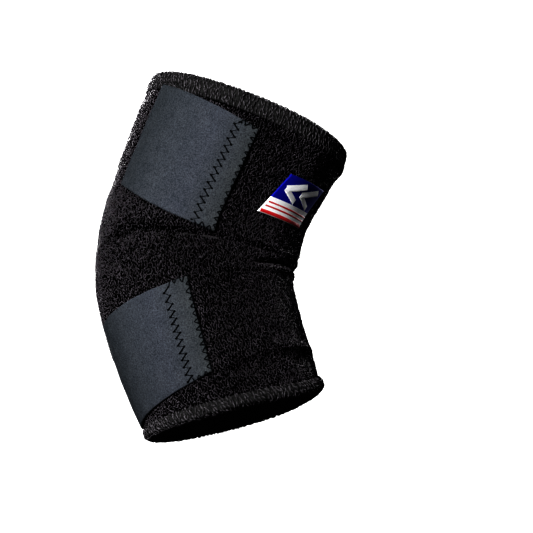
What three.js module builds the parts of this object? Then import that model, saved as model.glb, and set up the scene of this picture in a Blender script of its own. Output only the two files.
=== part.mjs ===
// Elbow brace, worn and bent: a terry-faced neoprene sleeve with two rolled edges,
// two wide tape straps and a small sewn label. Millimetres, +Z up. The origin is the middle
// of the elbow, the crook of the arm faces +X and the outer side of the arm faces -Y.
import * as THREE from "three";

// Middle line of the arm: an arc round the elbow with a straight stretch at each end
const UPPER_LENGTH = 81;
const LOWER_LENGTH = 72;
const MIDLINE_RADIUS = 70;
const UPPER_BEND = 19.9; // degrees, from the elbow to the upper arm
const LOWER_BEND = 17.5; // degrees, from the elbow to the forearm

// Distances from the middle line at the elbow
const BACK_DEPTH = 51.6;
const CROOK_DEPTH = 46.4;
const SIDE_DEPTH = 45.5;

// Thicknesses and clearances
const WALL = 3.5;
const CLEARANCE = 0.4;
const ROLL_CLEARANCE = 0.5; // between the sleeve and its rolled edges
const STRAP_THICKNESS = 1.5;
const STRAP_PRESS = 0.9; // how far a strap presses the soft sleeve in
const PRESS_FADE = 5; // over which the sleeve comes back beside a strap
const LABEL_THICKNESS = 0.8;

// Rolled edges: cloth folded over the edge of the sleeve
const TOP_ROLL = { outside: 8, inside: 6, cloth: 1.3 };
const BOTTOM_ROLL = { outside: 4.5, inside: 4.5, cloth: 1.3 };
const HEM_SHARE = 0.6; // thickness of the cloth at the end of a roll's leg
const FULL_SHARE = 0.7; // of a leg's length, from where on the cloth has its full thickness
const ROLL_CLIMB = 9; // over which a strap climbs onto a roll

// Straps and label, as sewn on: size along and across, place of the middle of the sewn end
// (round: arc length from the outer side towards the point of the elbow, as a share of
// SIDE_DEPTH; level: share of the sleeve's length above or below the elbow), and how they
// lie: tilt and skew in degrees, flare as the share by which the width grows to the far end
const UPPER_STRAP = {
  length: 60.8, width: 55.1, round: -0.2167, level: 0.4726, tilt: 11.6, skew: 7.3, flare: -0.04,
};
const LOWER_STRAP = {
  length: 64, width: 45.2, round: 0.1275, level: -0.482, tilt: -7, skew: -9, flare: 0.1,
};
const LABEL = {
  length: 30.4, width: 22.5, round: -1.3297, level: 0.561, tilt: -7.1, skew: -30.8, flare: 0,
};

// Sections of the sleeve. at: share of the upper (+) or lower (-) length;
// back, crook, side: shares of the depths at the elbow
const SECTIONS = [
  { at: -1.0, back: 0.872, crook: 0.918, side: 0.89 },
  { at: -0.8, back: 0.926, crook: 0.931, side: 0.934 },
  { at: -0.55, back: 0.961, crook: 0.935, side: 0.978 },
  { at: -0.28, back: 0.981, crook: 0.966, side: 1.0 },
  { at: 0.0, back: 1.0, crook: 1.0, side: 1.0 },
  { at: 0.26, back: 1.0, crook: 1.026, side: 1.011 },
  { at: 0.51, back: 1.019, crook: 1.009, side: 1.044 },
  { at: 0.74, back: 1.027, crook: 1.082, side: 1.077 },
  { at: 0.9, back: 1.019, crook: 1.112, side: 1.099 },
  { at: 1.0, back: 1.0, crook: 1.105, side: 1.078 },
];

// Where the two edges of the sleeve run. angle: degrees round the arm from the crook;
// top, bottom: how far along they lie, as shares of the upper and lower length
const EDGES = [
  { angle: 0, top: 1.0, bottom: 1.022 },
  { angle: 45, top: 0.989, bottom: 1.072 },
  { angle: 90, top: 0.989, bottom: 1.052 },
  { angle: 135, top: 1.017, bottom: 1.022 },
  { angle: 180, top: 1.04, bottom: 1.002 },
  { angle: 240, top: 1.017, bottom: 1.022 },
  { angle: 300, top: 1.003, bottom: 1.042 },
  { angle: 360, top: 1.0, bottom: 1.022 },
];

// Folds of the worn sleeve. from, to: degrees round the arm from the crook, the outer side
// being 90; start, middle, end: where the fold runs, as shares of the upper (+) or lower (-)
// length; height: share of FOLD_HEIGHT, below 0 for a groove; spread: share of FOLD_SPREAD
const FOLD_HEIGHT = 2;
const FOLD_SPREAD = 3;
const FOLD_FADE = 16; // degrees over which a fold dies away at each end
const FOLDS = [
  { from: 28, to: 148, start: 0.075, middle: 0.103, end: 0.09, height: -0.95, spread: 0.75 },
  { from: 78, to: 150, start: 0.145, middle: 0.15, end: 0.14, height: 0.4, spread: 0.85 },
  { from: 62, to: 168, start: -0.04, middle: -0.04, end: -0.03, height: 0.45, spread: 2.4 },
  { from: -75, to: 112, start: -0.06, middle: -0.13, end: -0.17, height: 0.45, spread: 0.8 },
  { from: -75, to: 60, start: 0.02, middle: 0.0, end: -0.08, height: -1.05, spread: 0.7 },
  { from: -60, to: 70, start: 0.15, middle: 0.13, end: 0.09, height: 0.4, spread: 1.6 },
  { from: -80, to: 75, start: 0.85, middle: 0.9, end: 0.84, height: 0.6, spread: 1.0 },
  { from: 5, to: 100, start: -0.81, middle: -0.755, end: -0.79, height: 0.75, spread: 0.8 },
  { from: 0, to: 92, start: -0.88, middle: -0.85, end: -0.88, height: -0.35, spread: 1.2 },
  { from: 205, to: 330, start: 0.085, middle: 0.075, end: 0.03, height: -0.8, spread: 0.9 },
  { from: 200, to: 325, start: -0.1, middle: -0.12, end: -0.06, height: 0.5, spread: 1.2 },
];

// Steps of the meshes
const AROUND = 42;
const OUTER_STATIONS = 53;
const INNER_STATIONS = 18;
const STATION_CROWDING = 0.45;
const ROLL_ARC_STEPS = 4;
const UNDERSIDE_SHARES = [0.25, 0.5, 0.75]; // of a roll's leg, for its face on the sleeve
const ARC_LENGTH_STEPS = 24;
const ANGLE_PASSES = 6;
const STRAP_STEP = 3.4;
const LABEL_STEP = 4;

const radians = THREE.MathUtils.degToRad;
const { clamp, smoothstep } = THREE.MathUtils;
const OUTER_SIDE = Math.PI / 2;

function wrappedDegrees(angle) {
  return THREE.MathUtils.euclideanModulo(THREE.MathUtils.radToDeg(angle), 360);
}

function shareOfLength(s) {
  return s < 0 ? s / LOWER_LENGTH : s / UPPER_LENGTH;
}

function lengthFromShare(share) {
  return share < 0 ? share * LOWER_LENGTH : share * UPPER_LENGTH;
}

// One column of a table at a value of its first column, smoothly between the rows and
// straight on beyond them
function fromTable(table, key, column, at) {
  const last = table.length - 1;
  const slope = (row) => {
    const [before, after] = [table[Math.max(row - 1, 0)], table[Math.min(row + 1, last)]];
    return (after[column] - before[column]) / (after[key] - before[key]);
  };
  if (at <= table[0][key]) return table[0][column] + slope(0) * (at - table[0][key]);
  if (at >= table[last][key]) return table[last][column] + slope(last) * (at - table[last][key]);
  const row = table.findIndex((entry) => entry[key] > at) - 1;
  const [low, high] = [table[row], table[row + 1]];
  const span = high[key] - low[key];
  const t = (at - low[key]) / span;
  const ease = t * t * (3 - 2 * t);
  const rise = span * slope(row) * t * (1 - t) * (1 - t);
  const fall = span * slope(row + 1) * t * t * (1 - t);
  return low[column] * (1 - ease) + high[column] * ease + rise - fall;
}

function depthsAt(s) {
  const at = shareOfLength(s);
  return {
    back: BACK_DEPTH * fromTable(SECTIONS, "at", "back", at),
    crook: CROOK_DEPTH * fromTable(SECTIONS, "at", "crook", at),
    side: SIDE_DEPTH * fromTable(SECTIONS, "at", "side", at),
  };
}

// Point and direction of the middle line at s along it
function midline(s) {
  const sign = s < 0 ? -1 : 1;
  const bend = radians(s < 0 ? LOWER_BEND : UPPER_BEND);
  const turn = Math.min(Math.abs(s) / MIDLINE_RADIUS, bend);
  const straight = Math.abs(s) - MIDLINE_RADIUS * turn;
  return {
    x: MIDLINE_RADIUS * (1 - Math.cos(turn)) + straight * Math.sin(turn),
    z: sign * (MIDLINE_RADIUS * Math.sin(turn) + straight * Math.cos(turn)),
    alongX: sign * Math.sin(turn),
    alongZ: Math.cos(turn),
  };
}

// Where the upper and the lower edge of the sleeve run at an angle round the arm
function topEdge(angle) {
  return UPPER_LENGTH * fromTable(EDGES, "angle", "top", wrappedDegrees(angle));
}

function bottomEdge(angle) {
  return -LOWER_LENGTH * fromTable(EDGES, "angle", "bottom", wrappedDegrees(angle));
}

// Height of all folds at an angle round the arm and a place along it
function foldHeight(angle, s) {
  let height = 0;
  for (const fold of FOLDS) {
    const middleAngle = (fold.from + fold.to) / 2;
    const reach = (fold.to - fold.from) / 2;
    const aside = wrappedDegrees(angle - radians(middleAngle) + Math.PI) - 180;
    if (Math.abs(aside) >= reach) continue;
    const t = aside / reach;
    const bow = fold.middle - (fold.start + fold.end) / 2;
    const share = fold.middle + ((fold.end - fold.start) / 2) * t - bow * t * t;
    const away = (s - lengthFromShare(share)) / (fold.spread * FOLD_SPREAD);
    const fade = smoothstep(reach - Math.abs(aside), 0, FOLD_FADE);
    height += FOLD_HEIGHT * fold.height * fade * Math.exp(-away * away);
  }
  return height;
}

// Arc length round one section, from the outer side of the arm to an angle
function arcTo(angle, s) {
  const { back, crook, side } = depthsAt(s);
  const step = (angle - OUTER_SIDE) / ARC_LENGTH_STEPS;
  let arc = 0;
  for (let i = 0; i < ARC_LENGTH_STEPS; i++) {
    const at = OUTER_SIDE + (i + 0.5) * step;
    const depth = Math.cos(at) > 0 ? crook : back;
    arc += Math.hypot(depth * Math.sin(at), side * Math.cos(at)) * step;
  }
  return arc;
}

// The angle that lies a given arc length round one section from the outer side
function angleAtArc(arc, s) {
  let angle = OUTER_SIDE + arc / SIDE_DEPTH;
  for (let i = 0; i < ANGLE_PASSES; i++) angle -= (arcTo(angle, s) - arc) / SIDE_DEPTH;
  return angle;
}

// Place on the sleeve of a point of a sewn-on patch: along from its sewn end, across from
// its middle line
function patchPlace(patch, along, across) {
  const wide = across * (1 + (patch.flare * along) / patch.length);
  const far = along + wide * Math.tan(radians(patch.skew));
  const tilt = radians(patch.tilt);
  const s = lengthFromShare(patch.level) + far * Math.sin(tilt) + wide * Math.cos(tilt);
  const arc = SIDE_DEPTH * patch.round + far * Math.cos(tilt) - wide * Math.sin(tilt);
  return { angle: angleAtArc(arc, s), s };
}

// How far inside a patch's outline a place on the sleeve lies, negative outside it
function insidePatch(patch, angle, s) {
  const tilt = radians(patch.tilt);
  const up = s - lengthFromShare(patch.level);
  const aside = arcTo(angle, s) - SIDE_DEPTH * patch.round;
  const wide = up * Math.cos(tilt) - aside * Math.sin(tilt);
  const far = aside * Math.cos(tilt) + up * Math.sin(tilt);
  const along = far - wide * Math.tan(radians(patch.skew));
  const half = (patch.width / 2) * (1 + (patch.flare * along) / patch.length);
  return Math.min(along, patch.length - along, half - Math.abs(wide));
}

// 1 on the bare sleeve, 0 under the rolled edges, which no strap presses in
function clearOfRolls(angle, s) {
  const below = topEdge(angle) - TOP_ROLL.outside - s;
  const above = s - bottomEdge(angle) - BOTTOM_ROLL.outside;
  return smoothstep(Math.min(below, above), 0, ROLL_CLIMB);
}

// How far the straps press the sleeve in at a place
function pressDepth(angle, s) {
  const turned = radians(wrappedDegrees(angle + OUTER_SIDE)) - OUTER_SIDE;
  const inside = Math.max(
    insidePatch(UPPER_STRAP, turned, s), insidePatch(LOWER_STRAP, turned, s));
  return STRAP_PRESS * clearOfRolls(angle, s) * smoothstep(inside, -PRESS_FADE, 0);
}

// Point at an angle round the arm, s along it and off the sleeve's smooth outer face
function surfacePoint(angle, s, off) {
  const { back, crook, side } = depthsAt(s);
  const depth = Math.cos(angle) > 0 ? crook : back;
  const [toCrook, toSide] = [Math.cos(angle) / depth, Math.sin(angle) / side];
  const steep = Math.hypot(toCrook, toSide);
  const u = depth * Math.cos(angle) + (off * toCrook) / steep;
  const v = side * Math.sin(angle) + (off * toSide) / steep;
  const line = midline(s);
  return new THREE.Vector3(line.x + u * line.alongZ, -v, line.z - u * line.alongX);
}

function sleeveRelief(angle, s) {
  return foldHeight(angle, s) - pressDepth(angle, s);
}

// Closed body from rows of points that close on themselves both ways
function ringBody(rows) {
  const positions = rows.flat().flatMap((p) => p.toArray());
  const index = [];
  const columns = rows[0].length;
  for (let i = 0; i < rows.length; i++) {
    for (let j = 0; j < columns; j++) {
      const next = (i + 1) % rows.length;
      const side = (j + 1) % columns;
      const [a, b] = [i * columns + j, next * columns + j];
      const [c, d] = [next * columns + side, i * columns + side];
      index.push(a, b, c, a, c, d);
    }
  }
  return bodyFrom(positions, index);
}

function bodyFrom(positions, index) {
  const geometry = new THREE.BufferGeometry();
  geometry.setAttribute("position", new THREE.Float32BufferAttribute(positions, 3));
  geometry.setIndex(index);
  geometry.computeVertexNormals();
  return geometry;
}

// Ring swept from a profile; place(i, angle) gives s and the distance off the outer face
function sweptRing(count, place) {
  const rows = [];
  for (let i = 0; i < count; i++) {
    const row = [];
    for (let j = 0; j < AROUND; j++) {
      const angle = (2 * Math.PI * j) / AROUND;
      const { s, off } = place(i, angle);
      row.push(surfacePoint(angle, s, off));
    }
    rows.push(row);
  }
  return ringBody(rows);
}

// Shares of the sleeve's length at its stations, closer at both edges; on the outer face
// also closer at the elbow, where the folds are
function outerShare(i) {
  const t = i / (OUTER_STATIONS - 1);
  return t - (STATION_CROWDING * Math.sin(4 * Math.PI * t)) / (4 * Math.PI);
}

function innerShare(i) {
  return (1 + Math.cos((Math.PI * i) / (INNER_STATIONS - 1))) / 2;
}

// The sleeve: outer face from the lower to the upper edge, then the inner face back
function sleeveGeometry() {
  return sweptRing(OUTER_STATIONS + INNER_STATIONS, (i, angle) => {
    const outer = i < OUTER_STATIONS;
    const share = outer ? outerShare(i) : innerShare(i - OUTER_STATIONS);
    const s = THREE.MathUtils.lerp(bottomEdge(angle), topEdge(angle), share);
    const relief = sleeveRelief(angle, s);
    return { s, off: outer ? relief : relief / 2 - WALL };
  });
}

// Profile of a rolled edge: out is how far along from the sleeve's edge, off how far off
// the sleeve's outer face
function rollProfile(roll) {
  const outer = ROLL_CLEARANCE + roll.cloth;
  const hem = ROLL_CLEARANCE + roll.cloth * HEM_SHARE;
  const profile = [
    { out: -roll.outside, off: ROLL_CLEARANCE },
    { out: -roll.outside, off: hem },
    { out: -roll.outside * FULL_SHARE, off: outer },
  ];
  for (let i = 0; i <= ROLL_ARC_STEPS; i++) {
    const turn = Math.PI * (0.5 - i / ROLL_ARC_STEPS);
    profile.push({
      out: outer * Math.cos(turn),
      off: -WALL / 2 + (WALL / 2 + outer) * Math.sin(turn),
    });
  }
  profile.push({ out: -roll.inside * FULL_SHARE, off: -WALL - outer });
  profile.push({ out: -roll.inside, off: -WALL - hem });
  for (const share of [0, ...UNDERSIDE_SHARES]) {
    profile.push({ out: -roll.inside * (1 - share), off: -WALL - ROLL_CLEARANCE });
  }
  profile.push({ out: ROLL_CLEARANCE, off: -WALL - ROLL_CLEARANCE });
  profile.push({ out: ROLL_CLEARANCE, off: ROLL_CLEARANCE });
  for (const share of UNDERSIDE_SHARES) {
    profile.push({ out: -roll.outside * share, off: ROLL_CLEARANCE });
  }
  return profile;
}

// A rolled edge, following the relief of the sleeve that it covers
function rollGeometry(roll, edge, direction) {
  const profile = rollProfile(roll);
  if (direction < 0) profile.reverse();
  return sweptRing(profile.length, (i, angle) => {
    const end = edge(angle);
    const s = end + direction * profile[i].out;
    const onSleeve = direction > 0 ? Math.min(s, end) : Math.max(s, end);
    const relief = sleeveRelief(angle, onSleeve);
    return { s, off: profile[i].off + (profile[i].off > -WALL / 2 ? relief : relief / 2) };
  });
}

// Height of the underside of a sewn-on patch: it bridges the grooves of the sleeve, follows
// its ridges, and climbs onto a rolled edge where it reaches one
function patchUnderside(angle, s) {
  const [top, bottom] = [topEdge(angle), bottomEdge(angle)];
  const climb = (roll, before) =>
    (roll.cloth + ROLL_CLEARANCE) * (1 - smoothstep(before - roll.outside, 0, ROLL_CLIMB));
  const onTop = climb(TOP_ROLL, top - ROLL_CLEARANCE - s);
  const onBottom = climb(BOTTOM_ROLL, s - bottom - ROLL_CLEARANCE);
  const relief = sleeveRelief(angle, clamp(s, bottom, top));
  return Math.max(relief, -STRAP_PRESS) + onTop + onBottom + CLEARANCE;
}

// A sewn-on patch: two faces of a grid and the sides that close them
function patchGeometry(patch, thickness, step) {
  const columns = Math.ceil(patch.length / step);
  const rows = Math.ceil(patch.width / step);
  const positions = [];
  for (const height of [0, thickness]) {
    for (let i = 0; i <= columns; i++) {
      for (let j = 0; j <= rows; j++) {
        const along = (patch.length * i) / columns;
        const across = patch.width * (j / rows - 0.5);
        const { angle, s } = patchPlace(patch, along, across);
        const off = patchUnderside(angle, s) + height;
        positions.push(...surfacePoint(angle, s, off).toArray());
      }
    }
  }
  const vertex = (face, i, j) => (face * (columns + 1) + i) * (rows + 1) + j;
  const index = [];
  const quad = (a, b, c, d) => index.push(a, b, c, a, c, d);
  for (let i = 0; i < columns; i++) {
    for (let j = 0; j < rows; j++) {
      quad(vertex(0, i, j), vertex(0, i + 1, j), vertex(0, i + 1, j + 1), vertex(0, i, j + 1));
      quad(vertex(1, i, j), vertex(1, i, j + 1), vertex(1, i + 1, j + 1), vertex(1, i + 1, j));
    }
  }
  for (let i = 0; i < columns; i++) {
    quad(vertex(0, i, 0), vertex(1, i, 0), vertex(1, i + 1, 0), vertex(0, i + 1, 0));
    quad(vertex(0, i, rows), vertex(0, i + 1, rows), vertex(1, i + 1, rows), vertex(1, i, rows));
  }
  for (let j = 0; j < rows; j++) {
    quad(vertex(0, 0, j), vertex(0, 0, j + 1), vertex(1, 0, j + 1), vertex(1, 0, j));
    quad(vertex(0, columns, j), vertex(1, columns, j),
      vertex(1, columns, j + 1), vertex(0, columns, j + 1));
  }
  return bodyFrom(positions, index);
}

const terryCloth = new THREE.MeshStandardMaterial({ color: 0x151618, roughness: 0.95 });
const edgeCloth = new THREE.MeshStandardMaterial({ color: 0x1b1b1e, roughness: 0.95 });
const strapTape = new THREE.MeshStandardMaterial({ color: 0x3b3f46, roughness: 0.85 });
const labelCloth = new THREE.MeshStandardMaterial({ color: 0x1c2a78, roughness: 0.6 });

function piece(name, geometry, material) {
  const mesh = new THREE.Mesh(geometry, material);
  mesh.name = name;
  return mesh;
}

const brace = new THREE.Group();
brace.add(
  piece("sleeve", sleeveGeometry(), terryCloth),
  piece("top_binding", rollGeometry(TOP_ROLL, topEdge, 1), edgeCloth),
  piece("bottom_binding", rollGeometry(BOTTOM_ROLL, bottomEdge, -1), edgeCloth),
  piece("upper_strap", patchGeometry(UPPER_STRAP, STRAP_THICKNESS, STRAP_STEP), strapTape),
  piece("lower_strap", patchGeometry(LOWER_STRAP, STRAP_THICKNESS, STRAP_STEP), strapTape),
  piece("label", patchGeometry(LABEL, LABEL_THICKNESS, LABEL_STEP), labelCloth),
);

export default brace;
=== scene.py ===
import math

import bpy
import numpy as np
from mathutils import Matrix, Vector
from mathutils.kdtree import KDTree


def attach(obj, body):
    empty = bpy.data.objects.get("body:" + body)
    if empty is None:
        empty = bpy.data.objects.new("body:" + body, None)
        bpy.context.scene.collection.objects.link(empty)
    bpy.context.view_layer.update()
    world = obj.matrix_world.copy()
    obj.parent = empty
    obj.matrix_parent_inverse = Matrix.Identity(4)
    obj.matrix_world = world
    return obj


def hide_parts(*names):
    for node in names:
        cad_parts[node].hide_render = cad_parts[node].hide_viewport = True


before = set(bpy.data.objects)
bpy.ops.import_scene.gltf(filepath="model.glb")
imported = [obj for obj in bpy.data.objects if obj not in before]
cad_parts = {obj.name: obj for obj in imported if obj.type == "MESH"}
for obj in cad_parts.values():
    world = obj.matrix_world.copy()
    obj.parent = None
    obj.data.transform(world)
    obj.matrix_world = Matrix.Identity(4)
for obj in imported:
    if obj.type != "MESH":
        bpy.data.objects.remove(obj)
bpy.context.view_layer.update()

MM = 0.001

# The sleeve's shape, as in the solids
UPPER_LENGTH = 81
LOWER_LENGTH = 72
MIDLINE_RADIUS = 70
UPPER_BEND = math.radians(19.9)
LOWER_BEND = math.radians(17.5)
BACK_DEPTH = 51.6
CROOK_DEPTH = 46.4
SIDE_DEPTH = 45.5
WALL = 3.5
CLEARANCE = 0.4
ROLL_CLEARANCE = 0.5
STRAP_THICKNESS = 1.5
STRAP_PRESS = 0.9
PRESS_FADE = 5
LABEL_THICKNESS = 0.8
TOP_ROLL = {"outside": 8, "inside": 6, "cloth": 1.3}
BOTTOM_ROLL = {"outside": 4.5, "inside": 4.5, "cloth": 1.3}
ROLL_CLIMB = 9
UPPER_STRAP = {
    "length": 60.8, "width": 55.1, "round": -0.2167, "level": 0.4726,
    "tilt": 11.6, "skew": 7.3, "flare": -0.04,
}
LOWER_STRAP = {
    "length": 64, "width": 45.2, "round": 0.1275, "level": -0.482,
    "tilt": -7, "skew": -9, "flare": 0.1,
}
LABEL = {
    "length": 30.4, "width": 22.5, "round": -1.3297, "level": 0.561,
    "tilt": -7.1, "skew": -30.8, "flare": 0,
}
# Columns: share of the length; back, crook and side depth as shares of the full ones
SECTIONS = np.array([
    (-1.0, 0.872, 0.918, 0.89),
    (-0.8, 0.926, 0.931, 0.934),
    (-0.55, 0.961, 0.935, 0.978),
    (-0.28, 0.981, 0.966, 1.0),
    (0.0, 1.0, 1.0, 1.0),
    (0.26, 1.0, 1.026, 1.011),
    (0.51, 1.019, 1.009, 1.044),
    (0.74, 1.027, 1.082, 1.077),
    (0.9, 1.019, 1.112, 1.099),
    (1.0, 1.0, 1.105, 1.078),
])
# Columns: degrees round the arm; upper and lower edge as shares of the lengths
EDGES = np.array([
    (0, 1.0, 1.022),
    (45, 0.989, 1.072),
    (90, 0.989, 1.052),
    (135, 1.017, 1.022),
    (180, 1.04, 1.002),
    (240, 1.017, 1.022),
    (300, 1.003, 1.042),
    (360, 1.0, 1.022),
])
FOLD_HEIGHT = 2
FOLD_SPREAD = 3
FOLD_FADE = 16
# Columns: first and last degree round the arm; share of the length at the start, middle
# and end; height and spread as shares of the full ones
FOLDS = [
    (28, 148, 0.075, 0.103, 0.09, -0.95, 0.75),
    (78, 150, 0.145, 0.15, 0.14, 0.4, 0.85),
    (62, 168, -0.04, -0.04, -0.03, 0.45, 2.4),
    (-75, 112, -0.06, -0.13, -0.17, 0.45, 0.8),
    (-75, 60, 0.02, 0.0, -0.08, -1.05, 0.7),
    (-60, 70, 0.15, 0.13, 0.09, 0.4, 1.6),
    (-80, 75, 0.85, 0.9, 0.84, 0.6, 1.0),
    (5, 100, -0.81, -0.755, -0.79, 0.75, 0.8),
    (0, 92, -0.88, -0.85, -0.88, -0.35, 1.2),
    (205, 330, 0.085, 0.075, 0.03, -0.8, 0.9),
    (200, 325, -0.1, -0.12, -0.06, 0.5, 1.2),
]
# How much higher or deeper each of these folds is in the cloth than in the solids
FOLD_GAINS = [2.0, 1.9, 1.2, 1.2, 1.2, 1.2, 1.2, 1.4, 1.0, 1.2, 1.2]
# A whole turn round the arm runs from its hidden side back to that side
TURN_START = -math.pi / 2
TURN_END = 3 * math.pi / 2
ARC_STEPS = 24
ARC_ROUNDS = 6


def smoothstep(x, low, high):
    t = np.clip((x - low) / (high - low), 0, 1)
    return t * t * (3 - 2 * t)


def from_table(table, column, at):
    """One column at values of the first, smoothly between rows and straight on beyond them."""
    keys, values = table[:, 0], table[:, column]
    last = len(keys) - 1
    before = np.maximum(np.arange(last + 1) - 1, 0)
    after = np.minimum(np.arange(last + 1) + 1, last)
    slopes = (values[after] - values[before]) / (keys[after] - keys[before])
    at = np.asarray(at, float)
    row = np.clip(np.searchsorted(keys, at, side="right") - 1, 0, last - 1)
    span = keys[row + 1] - keys[row]
    t = np.clip((at - keys[row]) / span, 0, 1)
    ease = smoothstep(t, 0, 1)
    rise = span * slopes[row] * t * (1 - t) ** 2
    fall = span * slopes[row + 1] * t * t * (1 - t)
    inside = values[row] * (1 - ease) + values[row + 1] * ease + rise - fall
    below = np.minimum(at - keys[0], 0) * slopes[0]
    above = np.maximum(at - keys[last], 0) * slopes[last]
    return inside + below + above


def depths_at(s):
    """Back, crook and side depth of the section at s, the length along the middle line."""
    at = np.where(s < 0, s / LOWER_LENGTH, s / UPPER_LENGTH)
    back = BACK_DEPTH * from_table(SECTIONS, 1, at)
    crook = CROOK_DEPTH * from_table(SECTIONS, 2, at)
    side = SIDE_DEPTH * from_table(SECTIONS, 3, at)
    return back, crook, side


def top_edge(angle):
    return UPPER_LENGTH * from_table(EDGES, 1, np.degrees(angle) % 360)


def bottom_edge(angle):
    return -LOWER_LENGTH * from_table(EDGES, 2, np.degrees(angle) % 360)


def length_from_share(share):
    return np.where(share < 0, share * LOWER_LENGTH, share * UPPER_LENGTH)


def fold_height(angle, s):
    total = np.zeros(np.broadcast(angle, s).shape)
    for gain, fold in zip(FOLD_GAINS, FOLDS):
        start_angle, end_angle, start, middle, end, height, spread = fold
        reach = (end_angle - start_angle) / 2
        centre = (start_angle + end_angle) / 2
        aside = (np.degrees(angle) - centre + 180) % 360 - 180
        t = aside / reach
        bow = middle - (start + end) / 2
        share = middle + (end - start) / 2 * t - bow * t * t
        away = (s - length_from_share(share)) / (spread * FOLD_SPREAD)
        fade = smoothstep(reach - np.abs(aside), 0, FOLD_FADE)
        total = total + gain * FOLD_HEIGHT * height * fade * np.exp(-away * away)
    return total


def arc_to(angle, s):
    """Arc length round the section at s, from the shown side of the arm to an angle."""
    back, crook, side = depths_at(s)
    step = (angle - math.pi / 2) / ARC_STEPS
    arc = 0
    for i in range(ARC_STEPS):
        at = math.pi / 2 + (i + 0.5) * step
        depth = np.where(np.cos(at) > 0, crook, back)
        arc = arc + np.hypot(depth * np.sin(at), side * np.cos(at)) * step
    return arc


def angle_at_arc(arc, s):
    angle = math.pi / 2 + arc / SIDE_DEPTH
    for _ in range(ARC_ROUNDS):
        angle = angle - (arc_to(angle, s) - arc) / SIDE_DEPTH
    return angle


def patch_place(patch, along, across):
    """Angle and s of a point of a strap or label, given along and across it."""
    wide = across * (1 + patch["flare"] * along / patch["length"])
    far = along + wide * math.tan(math.radians(patch["skew"]))
    tilt = math.radians(patch["tilt"])
    level = float(length_from_share(patch["level"]))
    s = level + far * math.sin(tilt) + wide * math.cos(tilt)
    arc = SIDE_DEPTH * patch["round"] + far * math.cos(tilt) - wide * math.sin(tilt)
    return angle_at_arc(arc, s), s


def inside_patch(patch, angle, s):
    """How far inside a patch's outline, below 0 outside it."""
    tilt = math.radians(patch["tilt"])
    up = s - float(length_from_share(patch["level"]))
    aside = arc_to(angle, s) - SIDE_DEPTH * patch["round"]
    wide = up * math.cos(tilt) - aside * math.sin(tilt)
    far = aside * math.cos(tilt) + up * math.sin(tilt)
    along = far - wide * math.tan(math.radians(patch["skew"]))
    half = patch["width"] / 2 * (1 + patch["flare"] * along / patch["length"])
    return np.minimum(np.minimum(along, patch["length"] - along), half - np.abs(wide))


def turned(angle):
    """The angle in the turn that starts on the hidden side of the arm."""
    return (angle - TURN_START) % (2 * math.pi) + TURN_START


def inside_straps(angle, s):
    at = turned(angle)
    return np.maximum(inside_patch(UPPER_STRAP, at, s), inside_patch(LOWER_STRAP, at, s))


def press_depth(angle, s):
    return STRAP_PRESS * smoothstep(inside_straps(angle, s), -PRESS_FADE, 0)


def surface_point(angle, s, off):
    """Point that lies off above the smooth outer face of the sleeve."""
    back, crook, side = depths_at(s)
    depth = np.where(np.cos(angle) > 0, crook, back)
    to_crook, to_side = np.cos(angle) / depth, np.sin(angle) / side
    steep = np.hypot(to_crook, to_side)
    u = depth * np.cos(angle) + off * to_crook / steep
    v = side * np.sin(angle) + off * to_side / steep
    sign = np.where(s < 0, -1, 1)
    turn = np.minimum(np.abs(s) / MIDLINE_RADIUS, np.where(s < 0, LOWER_BEND, UPPER_BEND))
    straight = np.abs(s) - MIDLINE_RADIUS * turn
    x = MIDLINE_RADIUS * (1 - np.cos(turn)) + straight * np.sin(turn)
    z = sign * (MIDLINE_RADIUS * np.sin(turn) + straight * np.cos(turn))
    return np.stack([x + u * np.cos(turn), -v + 0 * x, z - u * sign * np.sin(turn)], -1)


# Soft unevenness of worn foam. Columns: height, waves round the arm, waves a millimetre, phase
UNEVEN = [
    (0.10, 9, 0.31, 0.4),
    (0.09, -14, 0.23, 2.1),
    (0.07, 23, 0.44, 4.4),
    (0.06, -31, 0.52, 1.3),
    (0.05, 41, -0.63, 5.2),
    (0.08, 5, 0.71, 3.3),
]
PRESSED_SHARE = 0.15  # of a roll's height that stays under a strap
COVER_FADE = 2.5


def unevenness(angle, s):
    total = 0
    for height, waves, along, phase in UNEVEN:
        total = total + height * np.sin(waves * angle + along * s + phase)
    return total


def sleeve_relief(angle, s):
    return fold_height(angle, s) - press_depth(angle, s)


def cloth_point(angle, s):
    return surface_point(angle, s, sleeve_relief(angle, s) + unevenness(angle, s))


def strap_cover(angle, s):
    """1 under a strap, 0 beside it."""
    return smoothstep(inside_straps(angle, s), -COVER_FADE, 0)


def patch_underside(angle, s):
    top, bottom = top_edge(angle), bottom_edge(angle)

    def climb(roll, before):
        fade = smoothstep(before - roll["outside"], 0, ROLL_CLIMB)
        return PRESSED_SHARE * (roll["cloth"] + ROLL_CLEARANCE) * (1 - fade)

    on_top = climb(TOP_ROLL, top - ROLL_CLEARANCE - s)
    on_bottom = climb(BOTTOM_ROLL, s - bottom - ROLL_CLEARANCE)
    relief = sleeve_relief(angle, np.clip(s, bottom, top))
    return np.maximum(relief, -STRAP_PRESS) + on_top + on_bottom + CLEARANCE


# Making meshes
def unit(vectors):
    return vectors / np.linalg.norm(vectors, axis=-1, keepdims=True)


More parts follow.
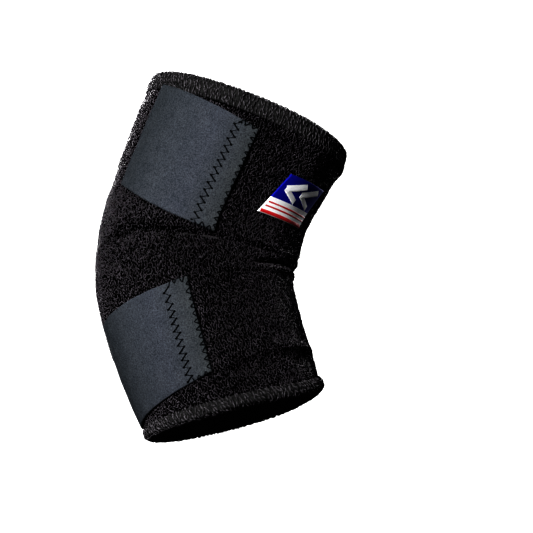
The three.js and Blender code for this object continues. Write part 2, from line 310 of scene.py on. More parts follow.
def new_object(name, points, polygons, material, uv=None):
    """points in millimetres; polygons: index arrays, one row a face; uv: one row a point."""
    mesh = bpy.data.meshes.new(name)
    corners = np.concatenate([p.ravel() for p in polygons]).astype(np.int32)
    totals = np.concatenate([np.full(len(p), p.shape[1]) for p in polygons])
    starts = np.concatenate([[0], np.cumsum(totals)[:-1]]).astype(np.int32)
    mesh.vertices.add(len(points))
    mesh.vertices.foreach_set("co", (points * MM).astype(np.float32).ravel())
    mesh.loops.add(len(corners))
    mesh.loops.foreach_set("vertex_index", corners)
    mesh.polygons.add(len(totals))
    mesh.polygons.foreach_set("loop_start", starts)
    mesh.polygons.foreach_set("use_smooth", np.ones(len(totals), bool))
    mesh.update(calc_edges=True)
    if uv is not None:
        layer = mesh.uv_layers.new(name="Cloth")
        layer.uv.foreach_set("vector", uv[corners].astype(np.float32).ravel())
    mesh.materials.append(material)
    made = bpy.data.objects.new(name, mesh)
    bpy.context.scene.collection.objects.link(made)
    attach(made, "root")
    return made


def ring_quads(rows, columns):
    """Faces of a grid that closes on itself both ways."""
    i, j = np.meshgrid(np.arange(rows), np.arange(columns), indexing="ij")
    i, j = i.ravel(), j.ravel()
    after, beside = (i + 1) % rows, (j + 1) % columns
    return np.stack([
        i * columns + j, after * columns + j, after * columns + beside, i * columns + beside,
    ], 1)


def ring_object(name, angles, s, off, material):
    """Closed ring. s and off: one row a station, one column an angle."""
    points = surface_point(angles[None, :], s, off).reshape(-1, 3)
    return new_object(name, points, [ring_quads(*s.shape)], material)


def tubes(paths, normals, half_width, half_height, sides):
    """Tubes along paths (tube, point, xyz), closed at both ends by one face each."""
    count, steps, _ = paths.shape
    ahead = np.empty_like(paths)
    ahead[:, 1:-1] = paths[:, 2:] - paths[:, :-2]
    ahead[:, 0] = paths[:, 1] - paths[:, 0]
    ahead[:, -1] = paths[:, -1] - paths[:, -2]
    ahead = unit(ahead)
    aside = unit(np.cross(ahead, normals))
    upward = np.cross(aside, ahead)
    turn = 2 * math.pi * np.arange(sides) / sides
    points = (
        paths[:, :, None]
        + aside[:, :, None] * (half_width[..., None, None] * np.cos(turn)[:, None])
        + upward[:, :, None] * (half_height[..., None, None] * np.sin(turn)[:, None])
    )
    n, p, k = np.meshgrid(np.arange(count), np.arange(steps - 1), np.arange(sides), indexing="ij")
    base = (n * steps + p) * sides
    beside = (k + 1) % sides
    quads = np.stack([base + k, base + beside, base + sides + beside, base + sides + k], -1)
    first = np.arange(count)[:, None] * steps * sides + np.arange(sides)[None, ::-1]
    last = np.arange(count)[:, None] * steps * sides + (steps - 1) * sides + np.arange(sides)
    return points.reshape(-1, 3), [quads.reshape(-1, 4), first, last]


def joined(parts):
    """Several (points, polygons) as one."""
    points, polygons, offset = [], [], 0
    for some, faces in parts:
        points.append(some)
        polygons += [face + offset for face in faces]
        offset += len(some)
    return np.concatenate(points), polygons


# Materials
UV_UNIT = 10  # millimetres of cloth to one unit of its UV map
CLOUD_SIZE = 30
FUZZ_DEPTH = 0.25
TONE_AND_SHADE_LENGTH = 64  # of tape, over which its tone changes and painted shade darkens it towards its free end


def new_material(name):
    made = bpy.data.materials.new(name)
    made.use_nodes = True
    return made, made.node_tree, made.node_tree.nodes["Principled BSDF"]


def link(tree, source, target):
    tree.links.new(source, target)


def put(tree, value, socket):
    """Links a socket's value, or sets a plain one."""
    if isinstance(value, bpy.types.NodeSocket):
        link(tree, value, socket)
    else:
        socket.default_value = value


def add_node(tree, kind, settings=(), inputs=()):
    made = tree.nodes.new(kind)
    for key, value in dict(settings).items():
        setattr(made, key, value)
    for key, value in dict(inputs).items():
        put(tree, value, made.inputs[key])
    return made


def object_noise(tree, size, detail, roughness=0.5):
    """Noise whose grain is about size millimetres."""
    made = add_node(tree, "ShaderNodeTexNoise", inputs={
        "Vector": add_node(tree, "ShaderNodeTexCoord").outputs["Object"],
        "Scale": 1 / MM / size, "Detail": detail, "Roughness": roughness,
    })
    return made.outputs["Fac"]


def ramp(tree, factor, *stops):
    made = add_node(tree, "ShaderNodeValToRGB", inputs={"Fac": factor})
    elements = made.color_ramp.elements
    while len(elements) < len(stops):
        elements.new(0.5)
    for element, (at, colour) in zip(elements, stops):
        element.position = at
        element.color = (*colour, 1)
    return made.outputs["Color"]


def math_node(tree, operation, a, b):
    return add_node(
        tree, "ShaderNodeMath", {"operation": operation}, {0: a, 1: b}
    ).outputs["Value"]


def mix_colours(tree, factor, a, b, blend="MIX"):
    made = add_node(tree, "ShaderNodeMix", {"data_type": "RGBA", "blend_type": blend})
    put(tree, factor, made.inputs["Factor"])
    put(tree, a, made.inputs[6])
    put(tree, b, made.inputs[7])
    return made.outputs[2]


def bump(tree, shader, height, distance):
    made = add_node(tree, "ShaderNodeBump", inputs={"Height": height, "Distance": distance * MM})
    link(tree, made.outputs["Normal"], shader.inputs["Normal"])


def cloth_uv(tree):
    return add_node(tree, "ShaderNodeUVMap", {"uv_map": "Cloth"}).outputs["UV"]


def grey(value, cool=0.0):
    return (value * (1 - cool), value, value * (1 + cool))


def cloth_material(name, dark, light, grain, roughness, specular, sheen=0.0, spread=(0.3, 0.7),
                   fuzz_size=0.3):
    """Cloth of one fibre: colour from dark to light by grain, clouded, with fibre bump."""
    made, tree, shader = new_material(name)
    colour = ramp(
        tree, object_noise(tree, grain, 3, 0.6), (spread[0], dark), (spread[1], light)
    )
    clouds = ramp(tree, object_noise(tree, CLOUD_SIZE, 3), (0.3, grey(0.78)), (0.7, grey(1.0)))
    link(tree, mix_colours(tree, 1.0, colour, clouds, "MULTIPLY"), shader.inputs["Base Color"])
    shader.inputs["Roughness"].default_value = roughness
    shader.inputs["Specular IOR Level"].default_value = specular
    shader.inputs["Sheen Weight"].default_value = sheen
    bump(tree, shader, object_noise(tree, fuzz_size, 2), FUZZ_DEPTH)
    return made


def yarn_material(name, dark, light):
    return cloth_material(
        name, dark, light, grain=1.3, roughness=0.55, specular=0.2, spread=(0.36, 0.8)
    )


def tape_material():
    """Brushed grey tape: fine crosswise weave under short fibres, mottled, cool grey."""
    made, tree, shader = new_material("StrapTape")
    fibre = object_noise(tree, 0.62, 3, 0.7)
    mottle = object_noise(tree, 6, 3, 0.6)
    colour = ramp(
        tree, fibre, (0.32, (0.021, 0.023, 0.0274)), (0.68, (0.069, 0.0755, 0.091))
    )
    shade = ramp(tree, mottle, (0.3, (0.86, 0.87, 0.88)), (0.7, (1.06, 1.05, 1.04)))
    colour = mix_colours(tree, 1.0, colour, shade, "MULTIPLY")
    uv = cloth_uv(tree)
    along = add_node(tree, "ShaderNodeSeparateXYZ", inputs={0: uv}).outputs["X"]
    # Painted shade: the tape darkens towards its free end, where the strap turns away from the
    # key light; the slight tints along it are the tape's own tone
    tone_and_shade = ramp(
        tree, math_node(tree, "DIVIDE", along, TONE_AND_SHADE_LENGTH / UV_UNIT),
        (0.0, (0.95, 0.95, 0.84)), (0.3, (1.0, 1.0, 1.0)), (0.55, (0.93, 0.94, 0.91)),
        (0.85, (0.68, 0.7, 0.66)),
    )
    link(tree, mix_colours(tree, 1.0, colour, tone_and_shade, "MULTIPLY"), shader.inputs["Base Color"])
    shader.inputs["Roughness"].default_value = 1.0
    shader.inputs["Specular IOR Level"].default_value = 0.1
    weave = add_node(
        tree, "ShaderNodeTexWave",
        {"wave_type": "BANDS", "bands_direction": "X", "wave_profile": "SIN"},
        {"Vector": uv, "Scale": 6.0, "Distortion": 1.5, "Detail": 1.0, "Detail Scale": 4.0},
    ).outputs["Fac"]
    height = math_node(tree, "ADD", math_node(tree, "MULTIPLY", weave, 0.35), fibre)
    bump(tree, shader, height, 0.16)
    return made


# Black ground cloth, seen only between the loops: its own black, made darker than the yarn as
# painted shade in the gaps between loops
GROUND = cloth_material(
    "TerryGround", grey(0.001), grey(0.003), grain=0.8, roughness=1.0, specular=0.0
)
YARN = yarn_material("TerryYarn", (0.0115, 0.0103, 0.0117), (0.145, 0.132, 0.149))
EDGE_YARN = yarn_material("EdgeYarn", (0.014, 0.0132, 0.0142), (0.175, 0.164, 0.178))
RIB = cloth_material(
    "EdgeRib", grey(0.01), grey(0.034), grain=1.2, roughness=1.0, specular=0.03
)
LINING = cloth_material(
    "Lining", grey(0.03), grey(0.06), grain=0.9, roughness=0.9, specular=0.25, sheen=0.05
)
THREAD = cloth_material(
    "Thread", grey(0.002, 0.2), grey(0.007, 0.2), grain=0.5, roughness=0.8, specular=0.1,
    fuzz_size=0.15,
)
TAPE = tape_material()

# Camera, at the photograph's viewing angle
PHOTO_SIDE = 533
FOCAL_PIXELS = 1800
SENSOR_WIDTH = 36
CAMERA_FAR = 900
CAMERA_RISE = math.radians(12.5)
CAMERA_TARGET = (33.25, 0, 2.3)


def set_camera():
    sight = Vector((0, math.cos(CAMERA_RISE), math.sin(CAMERA_RISE)))
    data = bpy.data.cameras.new("Camera")
    data.sensor_width = SENSOR_WIDTH
    data.lens = SENSOR_WIDTH * FOCAL_PIXELS / PHOTO_SIDE
    data.clip_start = 0.01
    data.clip_end = 100
    camera = bpy.data.objects.new("Camera", data)
    camera.location = (Vector(CAMERA_TARGET) - sight * CAMERA_FAR) * MM
    camera.rotation_euler = sight.to_track_quat("-Z", "Y").to_euler()
    bpy.context.scene.collection.objects.link(camera)
    bpy.context.scene.camera = camera


# Light, floor and backdrop
FLOOR_LEVEL = -600
BACKDROP_RADIUS = 9000
WORLD_COLOUR = (0.93, 0.96, 1.0, 1)
WORLD_STRENGTH = 0.035
# Columns: name, place, size, watts
LIGHTS = [
    ("Key", (-0.74, -1.28, 0.2), 0.3, 37),
    ("Fill", (0.35, -0.9, 1.2), 0.6, 5),
    ("Back", (-0.3, 1.4, 0.8), 0.9, 95),
    ("Side", (0.9, 1.2, 0.6), 0.6, 16),
]


def area_light(name, place, size, power):
    data = bpy.data.lights.new(name, "AREA")
    data.shape = "DISK"
    data.size = size
    data.energy = power
    light = bpy.data.objects.new(name, data)
    light.location = place
    light.rotation_euler = (-Vector(place)).to_track_quat("-Z", "Y").to_euler()
    bpy.context.scene.collection.objects.link(light)


def glowing_material(name, base, glow, roughness):
    made, _, shader = new_material(name)
    shader.inputs["Base Color"].default_value = (*grey(base), 1)
    shader.inputs["Emission Color"].default_value = (1, 1, 1, 1)
    shader.inputs["Emission Strength"].default_value = glow
    shader.inputs["Roughness"].default_value = roughness
    return made


def set_stage():
    scene = bpy.context.scene
    scene.view_settings.view_transform = "Standard"
    scene.view_settings.look = "Very High Contrast"
    world = bpy.data.worlds.new("World")
    world.use_nodes = True
    background = world.node_tree.nodes["Background"]
    background.inputs["Color"].default_value = WORLD_COLOUR
    background.inputs["Strength"].default_value = WORLD_STRENGTH
    scene.world = world

    bpy.ops.mesh.primitive_ico_sphere_add(subdivisions=5, radius=BACKDROP_RADIUS * MM)
    backdrop = bpy.context.object
    backdrop.name = "backdrop"
    backdrop.data.materials.append(glowing_material("Backdrop", base=0, glow=1.0, roughness=0.5))
    for ray in ("diffuse", "glossy", "transmission", "shadow"):
        setattr(backdrop, "visible_" + ray, False)

    bpy.ops.mesh.primitive_circle_add(
        vertices=128, radius=BACKDROP_RADIUS * MM, fill_type="NGON",
        location=(0, 0, FLOOR_LEVEL * MM),
    )
    floor = bpy.context.object
    floor.name = "floor"
    floor.data.materials.append(glowing_material("Floor", base=0.3, glow=0.62, roughness=0.9))
    floor.visible_diffuse = floor.visible_glossy = False

    for light in LIGHTS:
        area_light(*light)


set_camera()
set_stage()

# The sleeve
SLEEVE_COLUMNS = 320
SLEEVE_ROWS = 170
LINING_ROWS = 40


def make_sleeve():
    around = 2 * math.pi * np.arange(SLEEVE_COLUMNS) / SLEEVE_COLUMNS
    outer = np.linspace(0, 1, SLEEVE_ROWS)
    inner = (1 + np.cos(np.linspace(0, math.pi, LINING_ROWS))) / 2
    share = np.concatenate([outer, inner])[:, None]
    low, high = bottom_edge(around)[None], top_edge(around)[None]
    s = low + (high - low) * share
    angle = np.broadcast_to(around, s.shape)
    relief = sleeve_relief(angle, s)
    off = np.concatenate([
        (relief + unevenness(angle, s))[:SLEEVE_ROWS],
        (relief / 2 - WALL)[SLEEVE_ROWS:],
    ])
    made = ring_object("sleeve_cloth", around, s, off, GROUND)
    made.data.materials.append(LINING)
    lining = np.zeros(len(made.data.polygons), np.int32)
    lining[SLEEVE_ROWS * SLEEVE_COLUMNS:] = 1
    made.data.polygons.foreach_set("material_index", lining)
    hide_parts("sleeve")


make_sleeve()

# The rolled edges
HEM_ROWS = 9
TURN_ROWS = 13
INSIDE_ROWS = 5
UNDER_ROWS = 6
HEM_RISE = 0.1  # of the roll's cloth that stands up at its hem
EDGE_ANGLES = 1441  # at which the run of an edge is measured
RIB_COLUMNS = 7
RIB_HEIGHT = 0.3
RIB_LEVEL = 0.55  # of a rib's wave, where it leaves the roll's face as it is
RIB_FULL = 2  # off the wall, from where a rib has its whole height


def roll_profile(roll):
    """(out, off, rib) from the hem on the outer face, over the edge, to the hem inside."""
    full = ROLL_CLEARANCE + roll["cloth"]
    half = WALL / 2 + full
    profile = []
    for t in np.linspace(0, 1, HEM_ROWS):
        rise = HEM_RISE + (1 - HEM_RISE) * math.sin(math.pi / 2 * min(1, 1.4 * t))
        profile.append((-roll["outside"] * (1 - t), ROLL_CLEARANCE + roll["cloth"] * rise, 1))
    for turn in np.linspace(math.pi / 2, -math.pi / 2, TURN_ROWS + 1)[1:]:
        profile.append((full * math.cos(turn), -WALL / 2 + half * math.sin(turn), 1))
    for t in np.linspace(0, 1, INSIDE_ROWS + 1)[1:]:
        rise = math.sin(math.pi / 2 * min(1, 1.3 - t)) ** 0.8
        profile.append((-roll["inside"] * t, -WALL - ROLL_CLEARANCE - roll["cloth"] * rise, 1))
    for t in np.linspace(1, 0, INSIDE_ROWS):
        profile.append((-roll["inside"] * t, -WALL - ROLL_CLEARANCE, 0))
    profile.append((ROLL_CLEARANCE, -WALL - ROLL_CLEARANCE, 0))
    profile.append((ROLL_CLEARANCE, ROLL_CLEARANCE, 0))
    for t in np.linspace(0, 1, UNDER_ROWS):
        profile.append((-roll["outside"] * t, ROLL_CLEARANCE, 0))
    return np.array(profile)


def even_angles(edge, count):
    """Angles that lie evenly round the edge by arc length."""
    fine = np.linspace(TURN_START, TURN_END, EDGE_ANGLES)
    back, crook, side = depths_at(edge(fine))
    depth = np.where(np.cos(fine) > 0, crook, back)
    speed = np.hypot(depth * np.sin(fine), side * np.cos(fine)) * (fine[1] - fine[0])
    arc = np.concatenate([[0], np.cumsum((speed[1:] + speed[:-1]) / 2)])
    return np.interp(np.arange(count) / count * arc[-1], arc, fine)


def roll_offsets(edge, direction, angle, out, off):
    """s and off of points out beyond an edge, on the relief of the sleeve and under straps."""
    end = edge(angle)
    s = end + direction * out
    on_sleeve = np.minimum(s, end) if direction > 0 else np.maximum(s, end)
    relief = sleeve_relief(angle, on_sleeve)
    pressed = 1 - (1 - PRESSED_SHARE) * strap_cover(angle, on_sleeve)
    off = np.where(off > 0, off * pressed, off)
    return s, off + np.where(off > -WALL / 2, relief, relief / 2)


def make_roll(name, node, roll, edge, direction, ribs, slant):
    columns = ribs * RIB_COLUMNS
    angles = even_angles(edge, columns)
    profile = roll_profile(roll)
    if direction < 0:
        profile = profile[::-1]
    out, off, rib = (profile[:, k:k + 1] for k in range(3))
    phase = 2 * math.pi * (np.arange(columns) / RIB_COLUMNS)[None] + slant * out
    wave = np.abs(np.cos(phase / 2)) - RIB_LEVEL
    outward = np.clip((off + WALL / 2) / (WALL / 2 + RIB_FULL), -1, 1)
    lifted = off + RIB_HEIGHT * rib * wave * outward
    stretched = out + RIB_HEIGHT * rib * wave * (out > 0)
    angle = np.broadcast_to(angles, wave.shape)
    s, off = roll_offsets(edge, direction, angle, stretched, lifted)
    made = ring_object(name, angles, s, off, RIB)
    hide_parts(node)


make_roll("top_edge_roll", "top_binding", TOP_ROLL, top_edge, 1, ribs=160, slant=0.5)
make_roll(
    "bottom_edge_roll", "bottom_binding", BOTTOM_ROLL, bottom_edge, -1, ribs=108, slant=0.7
)

# Terry loops. Each style gives the mean and spread of heading and lean, and the least and
# most of half the length, height and half the thickness
TERRY_STYLE = {
    "heading": (0, 0.55), "reach": (0.45, 0.8), "height": (0.3, 0.65), "thick": (0.26, 0.38),
    "lean": (0, 0.2),
}
EDGE_STYLE = {
    "heading": (0.3, 0.3), "reach": (0.9, 1.5), "height": (0.2, 0.5), "thick": (0.3, 0.48),
    "lean": (0, 0.1),
}
LOOP_SIDES = 3
# Along a loop: share of its length, share of its height, share of its width
LOOP_ARCH = [(0, -0.35, 0.8), (0.3, 0.85, 1), (0.7, 0.95, 1), (1, -0.35, 0.8)]
LOOP_FLATNESS = 0.7
LOOP_SPACING = 0.87  # between neighbouring loops at least
LOOP_TRIES = 260000
TERRY_RANGE = (-79, 86)  # of s
TERRY_PIECES = 4
HEM_GAP = 0.2
STRAP_OVERLAP = 0.3
LABEL_OVERLAP = 0.4
TERRY_STEP = 0.3  # between points that give a surface's directions
EDGE_STEP = 0.25
EDGE_ROW_STEP = 1.9
EDGE_SHIFT = 0.33  # of a column, either way
EDGE_STRAY = 0.3  # across the edge, either way
random = np.random.default_rng(7)


def frames_at(place, angle, along, step, direction=1):
    """Points of a surface with its directions along the arm, round the arm and outward."""
    point = place(angle, along)
    up = unit(direction * (place(angle, along + step) - point))
    side = unit(place(angle + step / SIDE_DEPTH, along) - point)
    return point, up, side, unit(np.cross(up, side))


def loop_tubes(frames, style):
    """A small arch of yarn on each frame."""
    point, up, side, normal = frames
    n = len(point)
    heading = random.normal(*style["heading"], n)
    reach = random.uniform(*style["reach"], n)
    height = random.uniform(*style["height"], n)
    thick = random.uniform(*style["thick"], n)
    lean = random.normal(*style["lean"], n)
    ahead = up * np.cos(heading)[:, None] + side * np.sin(heading)[:, None]
    aside = np.cross(normal, ahead)
    paths = []
    for t, rise, _ in LOOP_ARCH:
        paths.append(
            point
            + ahead * (reach * (t - 0.5) * 2)[:, None]
            + normal * (height * rise)[:, None]
            + aside * (lean * max(rise, 0))[:, None]
        )
    paths = np.stack(paths, 1)
    normals = np.repeat(normal[:, None], paths.shape[1], 1)
    width = thick[:, None] * np.array([width for _, _, width in LOOP_ARCH])
    return tubes(paths, normals, width, LOOP_FLATNESS * width, LOOP_SIDES)


def scattered(low, high, spacing, tries):
    """Random angles and levels on the sleeve's face, none nearer another than the spacing."""
    angle = random.uniform(TURN_START, TURN_END, tries)
    level = random.uniform(low, high, tries)
    points = surface_point(angle, level, 0 * level)
    tree = KDTree(tries)
    for i, point in enumerate(points):
        tree.insert(point, i)
    tree.balance()
    taken = np.zeros(tries, bool)
    kept = []
    for i, point in enumerate(points):
        if not taken[i]:
            kept.append(i)
            taken[[found[1] for found in tree.find_range(point, spacing)]] = True
    return angle[kept], level[kept]


def make_terry():
    angle, s = scattered(*TERRY_RANGE, LOOP_SPACING, LOOP_TRIES)
    keep = s < top_edge(angle) - TOP_ROLL["outside"] - HEM_GAP
    keep &= s > bottom_edge(angle) + BOTTOM_ROLL["outside"] + HEM_GAP
    keep &= inside_straps(angle, s) < STRAP_OVERLAP
    keep &= inside_patch(LABEL, turned(angle), s) < LABEL_OVERLAP
    angle, s = angle[keep], s[keep]
    order = np.argsort(angle)
    for part, chosen in enumerate(np.array_split(order, TERRY_PIECES)):
        frames = frames_at(cloth_point, angle[chosen], s[chosen], TERRY_STEP)
        points, faces = loop_tubes(frames, TERRY_STYLE)
        made = new_object("terry_loops_%d" % (part + 1), points, faces, YARN)


def make_roll_loops(name, roll, edge, direction, columns, first, last):
    """Rows of long loops across a rolled edge, from first to last beyond the edge."""
    outs = np.arange(first, last, EDGE_ROW_STEP)
    half = 0.5 * (np.arange(len(outs)) % 2)[:, None]
    shift = random.uniform(-EDGE_SHIFT, EDGE_SHIFT, (len(outs), columns)) + half
    angle = even_angles(edge, columns)[None] + shift * 2 * math.pi / columns
    stray = random.uniform(-EDGE_STRAY, EDGE_STRAY, angle.shape)
    out = np.repeat(outs[:, None], columns, 1) + stray
    crest = roll_profile(roll)[:HEM_ROWS + TURN_ROWS]
    travelled = np.concatenate([
        [0], np.cumsum(np.hypot(np.diff(crest[:, 0]), np.diff(crest[:, 1])))
    ]) - roll["outside"]

    def place(angle, travel):
        out = np.interp(travel, travelled, crest[:, 0])
        off = np.interp(travel, travelled, crest[:, 1])
        return surface_point(angle, *roll_offsets(edge, direction, angle, out, off))

    frames = frames_at(place, angle.ravel(), out.ravel(), EDGE_STEP, direction)
    points, faces = loop_tubes(frames, EDGE_STYLE)
    made = new_object(name, points, faces, EDGE_YARN)


make_terry()
make_roll_loops("top_edge_loops", TOP_ROLL, top_edge, 1, columns=168, first=-7.0, last=4.6)
make_roll_loops(
    "bottom_edge_loops", BOTTOM_ROLL, bottom_edge, -1, columns=146, first=-3.6, last=4.4
)

# Patches: the straps and the label
ROUNDED_EDGE = 0.6
PILE_LIFT = 0.35  # of thread over the sleeve beside a patch


def crowded(length, step):
    """Places along a side, closer together at both ends."""
    ends = np.array([0, 0.06, 0.2, 0.5, 1]) * ROUNDED_EDGE
    count = max(2, int((length - 2 * ROUNDED_EDGE) / step))
    middle = np.linspace(ROUNDED_EDGE, length - ROUNDED_EDGE, count)
    return np.concatenate([ends[:-1], middle, length - ends[::-1][1:]])


def from_rim(patch, along, across):
    """How far inside a patch's rim, below 0 beyond it."""
    half = patch["width"] / 2
    return np.minimum(np.minimum(along, patch["length"] - along), half - np.abs(across))


def patch_height(patch, thickness, along, across):
    """Height of the upper face over the underside, rounded along the edges."""
    near = np.clip(1 - from_rim(patch, along, across) / ROUNDED_EDGE, 0, 1)
    drop = 1 - np.sqrt(np.clip(1 - near * near, 0, 1))
    return thickness - min(ROUNDED_EDGE, 0.7 * thickness) * drop


def patch_object(name, patch, thickness, step, material, relief=None):
    alongs = crowded(patch["length"], step)
    acrosses = crowded(patch["width"], step) - patch["width"] / 2
    along, across = np.meshgrid(alongs, acrosses, indexing="ij")
    angle, s = patch_place(patch, along, across)
    under = patch_underside(angle, s)
    height = patch_height(patch, thickness, along, across)
    if relief is not None:
        height = height + relief(along, across)
    low = surface_point(angle, s, under)
    high = surface_point(angle, s, under + height)
    count = along.size
    grid = np.arange(count).reshape(along.shape)

    def quads(a, b, c, d):
        return np.stack([a.ravel(), b.ravel(), c.ravel(), d.ravel()], 1)

    faces = [
        quads(grid[:-1, :-1], grid[1:, :-1], grid[1:, 1:], grid[:-1, 1:]),
        quads(grid[:-1, :-1], grid[:-1, 1:], grid[1:, 1:], grid[1:, :-1]) + count,
        quads(grid[:-1, 0], grid[:-1, 0] + count, grid[1:, 0] + count, grid[1:, 0]),
        quads(grid[:-1, -1], grid[1:, -1], grid[1:, -1] + count, grid[:-1, -1] + count),
        quads(grid[0, :-1], grid[0, 1:], grid[0, 1:] + count, grid[0, :-1] + count),
        quads(grid[-1, :-1], grid[-1, :-1] + count, grid[-1, 1:] + count, grid[-1, 1:]),
    ]
    points = np.concatenate([low.reshape(-1, 3), high.reshape(-1, 3)])
    uv = np.stack([along / UV_UNIT, across / UV_UNIT], -1).reshape(-1, 2)
    return new_object(name, points, faces, material, np.concatenate([uv, uv]))


def patch_face(patch, thickness, relief=None):
    """A function of along, across and lift, for points lifted off a patch's upper face."""
    half = patch["width"] / 2

    def face(along, across, lift):
        angle, s = patch_place(patch, along, across)
        top = patch_underside(angle, s) + patch_height(
            patch, thickness, np.clip(along, 0, patch["length"]), np.clip(across, -half, half)
        )
        if relief is not None:
            top = top + relief(along, across)
        bare = sleeve_relief(angle, s) + PILE_LIFT
        share = smoothstep(from_rim(patch, along, across), -0.5, 0.15)
        return surface_point(angle, s, bare * (1 - share) + top * share + lift)

    return face


def laid_path(face, along, across, lift):
    """Points on a face and its outward directions there."""
    path = face(along, across, lift)
    return path, unit(face(along, across, lift + 1) - path)


# Straps and their stitches
TAPE_STEP = 0.85
SEAM_DIP = 0.28
SEAM_SPREAD = 2.4
# Columns: height, waves a millimetre along and across the tape
TAPE_WAVES = [(0.07, 0.31, 0.22), (0.05, -0.17, 0.5)]
THREAD_SIDES = 6
STITCH_POINTS = 9
STITCH_SINK = 0.45  # of a stitch's ends, below the face
ZIGZAG_WIDTH = 2.8
ZIGZAG_MARGIN = 1.0
ZIGZAG_JITTER = 0.08
KNOT_REACH = np.array([0.28, 0.0])
OVERCAST_PERIOD = 3.6
OVERCAST_ENDS = (1, 0.8)  # left free at the two ends of the sewn edge
OVERCAST_RUN = (1.2, 10.5)  # from and to, along the long edges
OVERCAST_OUT = 1.1
OVERCAST_IN = 1.9
OVERCAST_JITTER = 0.32


def strap_relief(seam):
    def relief(along, across):
        dip = -SEAM_DIP * np.exp(-(((along - seam) / SEAM_SPREAD) ** 2))
        waves = 0
        for height, lengthwise, crosswise in TAPE_WAVES:
            waves = waves + height * np.sin(lengthwise * along + crosswise * across)
        return dip + waves

    return relief


def stitches(face, starts, ends, thick, bow):
    """One closed tube of thread for each stitch, from start to end (along, across)."""
    t = np.linspace(0, 1, STITCH_POINTS)[None, :]
    along = starts[:, :1] * (1 - t) + ends[:, :1] * t
    across = starts[:, 1:] * (1 - t) + ends[:, 1:] * t
    lift = bow - (bow + STITCH_SINK) * np.abs(2 * t - 1) ** 5 + 0 * along
    paths, normals = laid_path(face, along, across, lift)
    width = np.full(along.shape, thick)
    return tubes(paths, normals, width, width, THREAD_SIDES)


def zigzag(face, patch, seam, period, lean):
    """Zigzag of thread: one arm of each tooth lies bold on the tape, the other sinks in."""
    half = patch["width"] / 2 - ZIGZAG_MARGIN
    across = np.arange(-half, half, period / 2)
    side = np.where(np.arange(len(across)) % 2 == 0, 1, -1)
    corner = np.stack([seam + side * ZIGZAG_WIDTH / 2, across + lean * side], 1)
    corner = corner + random.normal(0, ZIGZAG_JITTER, corner.shape)
    starts, ends = corner[:-1], corner[1:]
    bold, thin = (1, 0) if lean < 0 else (0, 1)
    return [
        stitches(face, starts[bold::2], ends[bold::2], thick=0.31, bow=0.15),
        stitches(face, starts[thin::2], ends[thin::2], thick=0.2, bow=-0.04),
        stitches(face, corner - KNOT_REACH, corner + KNOT_REACH, thick=0.48, bow=0.2),
    ]


def overcast(patch):
    """Zigzag over the sewn edge and the first stretch of the long edges."""
    half = patch["width"] / 2
    first, last = OVERCAST_ENDS
    across = np.arange(-half + first, half - last, OVERCAST_PERIOD / 2)
    outside = np.arange(len(across)) % 2 == 0
    runs = [np.stack([np.where(outside, -OVERCAST_OUT, OVERCAST_IN), across], 1)]
    along = np.arange(*OVERCAST_RUN, OVERCAST_PERIOD / 2)
    outside = np.arange(len(along)) % 2 == 0
    for side in (-1, 1):
        beyond = np.where(outside, OVERCAST_OUT, -OVERCAST_IN)
        runs.append(np.stack([along, side * (half + beyond)], 1))
    runs = [run + random.normal(0, OVERCAST_JITTER, run.shape) for run in runs]
    return np.concatenate([run[:-1] for run in runs]), np.concatenate([run[1:] for run in runs])


def make_strap(name, node, patch, seam, period, lean):
    relief = strap_relief(seam)
    made = patch_object(name, patch, STRAP_THICKNESS, TAPE_STEP, TAPE, relief)
    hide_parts(node)
    face = patch_face(patch, STRAP_THICKNESS, relief)
    thread = joined([
        *zigzag(face, patch, seam, period, lean),
        stitches(face, *overcast(patch), thick=0.3, bow=0.1),
    ])
    sewn = new_object(name + "_stitches", *thread, THREAD)


make_strap(
    "upper_tape", "upper_strap", UPPER_STRAP, seam=10.4, period=3.87, lean=-0.1
)
make_strap(
    "lower_tape", "lower_strap", LOWER_STRAP, seam=11.3, period=3.4, lean=0.02
)

# The label: a blue and a white field, two chevrons, two thin bars and a border
LABEL_BLUE = (0.006, 0.007, 0.27)
LABEL_WHITE = (0.95, 0.95, 0.96)
LABEL_RED = (0.55, 0.008, 0.015)
LABEL_STEP = 0.55
FIELD_EDGE = -0.24  # in the UV map, across: blue above it, white below
SATIN_HEIGHT = 0.14
SATIN_PITCH = 0.4
SATIN_POINTS = 4  # to one rib of a stroke
SATIN_SIDES = 10
CHEVRON_STARTS = (5.4, 16.4)
CHEVRON_REACH = 10.6
CHEVRON_MARGIN = 2.1
CHEVRON_LOW = -0.3
TIP_DROP = 0.05
CHEVRON_STROKE = 4.9
BAR_LEVELS = (-5.1, -7.3)
BAR_MARGIN = 0.8
BAR_STROKE = 0.9
BORDER_MARGINS = (0.6, 1.1)
BORDER_STROKE = 1.9


def label_material():
    made, tree, shader = new_material("LabelCloth")
    uv = cloth_uv(tree)
    across = add_node(tree, "ShaderNodeSeparateXYZ", inputs={0: uv}).outputs["Y"]
    blue = math_node(tree, "GREATER_THAN", across, FIELD_EDGE)
    base = mix_colours(tree, blue, (*LABEL_WHITE, 1), (*LABEL_BLUE, 1))
    shade = ramp(tree, object_noise(tree, 0.5, 3), (0.3, grey(0.8)), (0.7, grey(1.0)))
    link(tree, mix_colours(tree, 1.0, base, shade, "MULTIPLY"), shader.inputs["Base Color"])
    shader.inputs["Roughness"].default_value = 0.7
    shader.inputs["Specular IOR Level"].default_value = 0.15
    weave = add_node(
        tree, "ShaderNodeTexWave", {"wave_type": "BANDS", "bands_direction": "Y"},
        {"Vector": uv, "Scale": 9.0, "Distortion": 0.6},
    ).outputs["Fac"]
    bump(tree, shader, weave, 0.03)
    return made


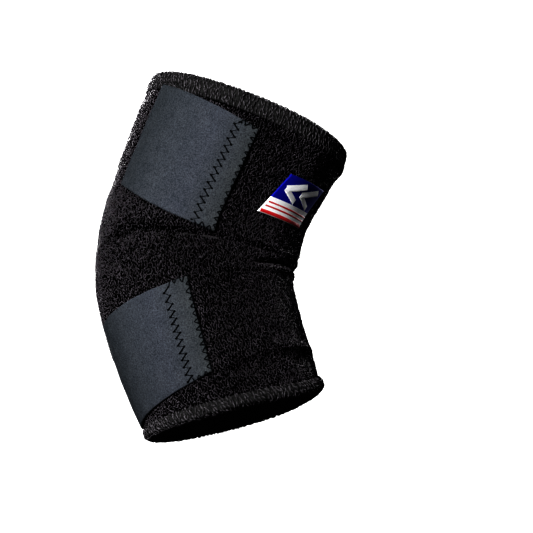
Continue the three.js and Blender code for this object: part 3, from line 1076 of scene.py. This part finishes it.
def satin_material(name, colour):
    made, tree, shader = new_material(name)
    shade = ramp(
        tree, object_noise(tree, 0.35, 3),
        (0.3, tuple(0.75 * c for c in colour)), (0.7, colour),
    )
    link(tree, shade, shader.inputs["Base Color"])
    shader.inputs["Roughness"].default_value = 0.45
    shader.inputs["Sheen Weight"].default_value = 0.15
    bump(tree, shader, object_noise(tree, 0.2, 2), 0.02)
    return made


def satin_strokes(face, strokes, width):
    """Raised strokes of embroidery on a face, ribbed crosswise."""
    parts = []
    for start, end in strokes:
        start, end = np.array(start, float), np.array(end, float)
        ribs = int(np.linalg.norm(end - start) / SATIN_PITCH)
        steps = max(6, ribs * SATIN_POINTS + 1)
        t = np.linspace(0, 1, steps)[None, :]
        along = start[0] * (1 - t) + end[0] * t
        across = start[1] * (1 - t) + end[1] * t
        paths, normals = laid_path(face, along, across, 0 * t)
        rib = 0.9 + 0.1 * np.cos(2 * math.pi * np.arange(steps) / SATIN_POINTS)[None, :]
        parts.append(tubes(paths, normals, width / 2 * rib, SATIN_HEIGHT * rib, SATIN_SIDES))
    return joined(parts)


def make_label():
    made = patch_object("label_cloth", LABEL, LABEL_THICKNESS, LABEL_STEP, label_material())
    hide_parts("label")
    face = patch_face(LABEL, LABEL_THICKNESS)
    length, half = LABEL["length"], LABEL["width"] / 2
    high = half - CHEVRON_MARGIN
    middle = (high + CHEVRON_LOW) / 2 - TIP_DROP
    chevrons = []
    for start in CHEVRON_STARTS:
        tip = (start + CHEVRON_REACH, middle)
        chevrons += [((start, high), tip), (tip, (start, CHEVRON_LOW))]
    bars = [((BAR_MARGIN, level), (length - BAR_MARGIN, level)) for level in BAR_LEVELS]
    end, below = BORDER_MARGINS
    border = [((end, below - half), (length - end, below - half))]
    white = new_object(
        "label_chevrons", *satin_strokes(face, chevrons, CHEVRON_STROKE),
        satin_material("WhiteSatin", LABEL_WHITE),
    )
    red = new_object(
        "label_bars",
        *joined([
            satin_strokes(face, bars, BAR_STROKE), satin_strokes(face, border, BORDER_STROKE),
        ]),
        satin_material("RedSatin", LABEL_RED),
    )


make_label()
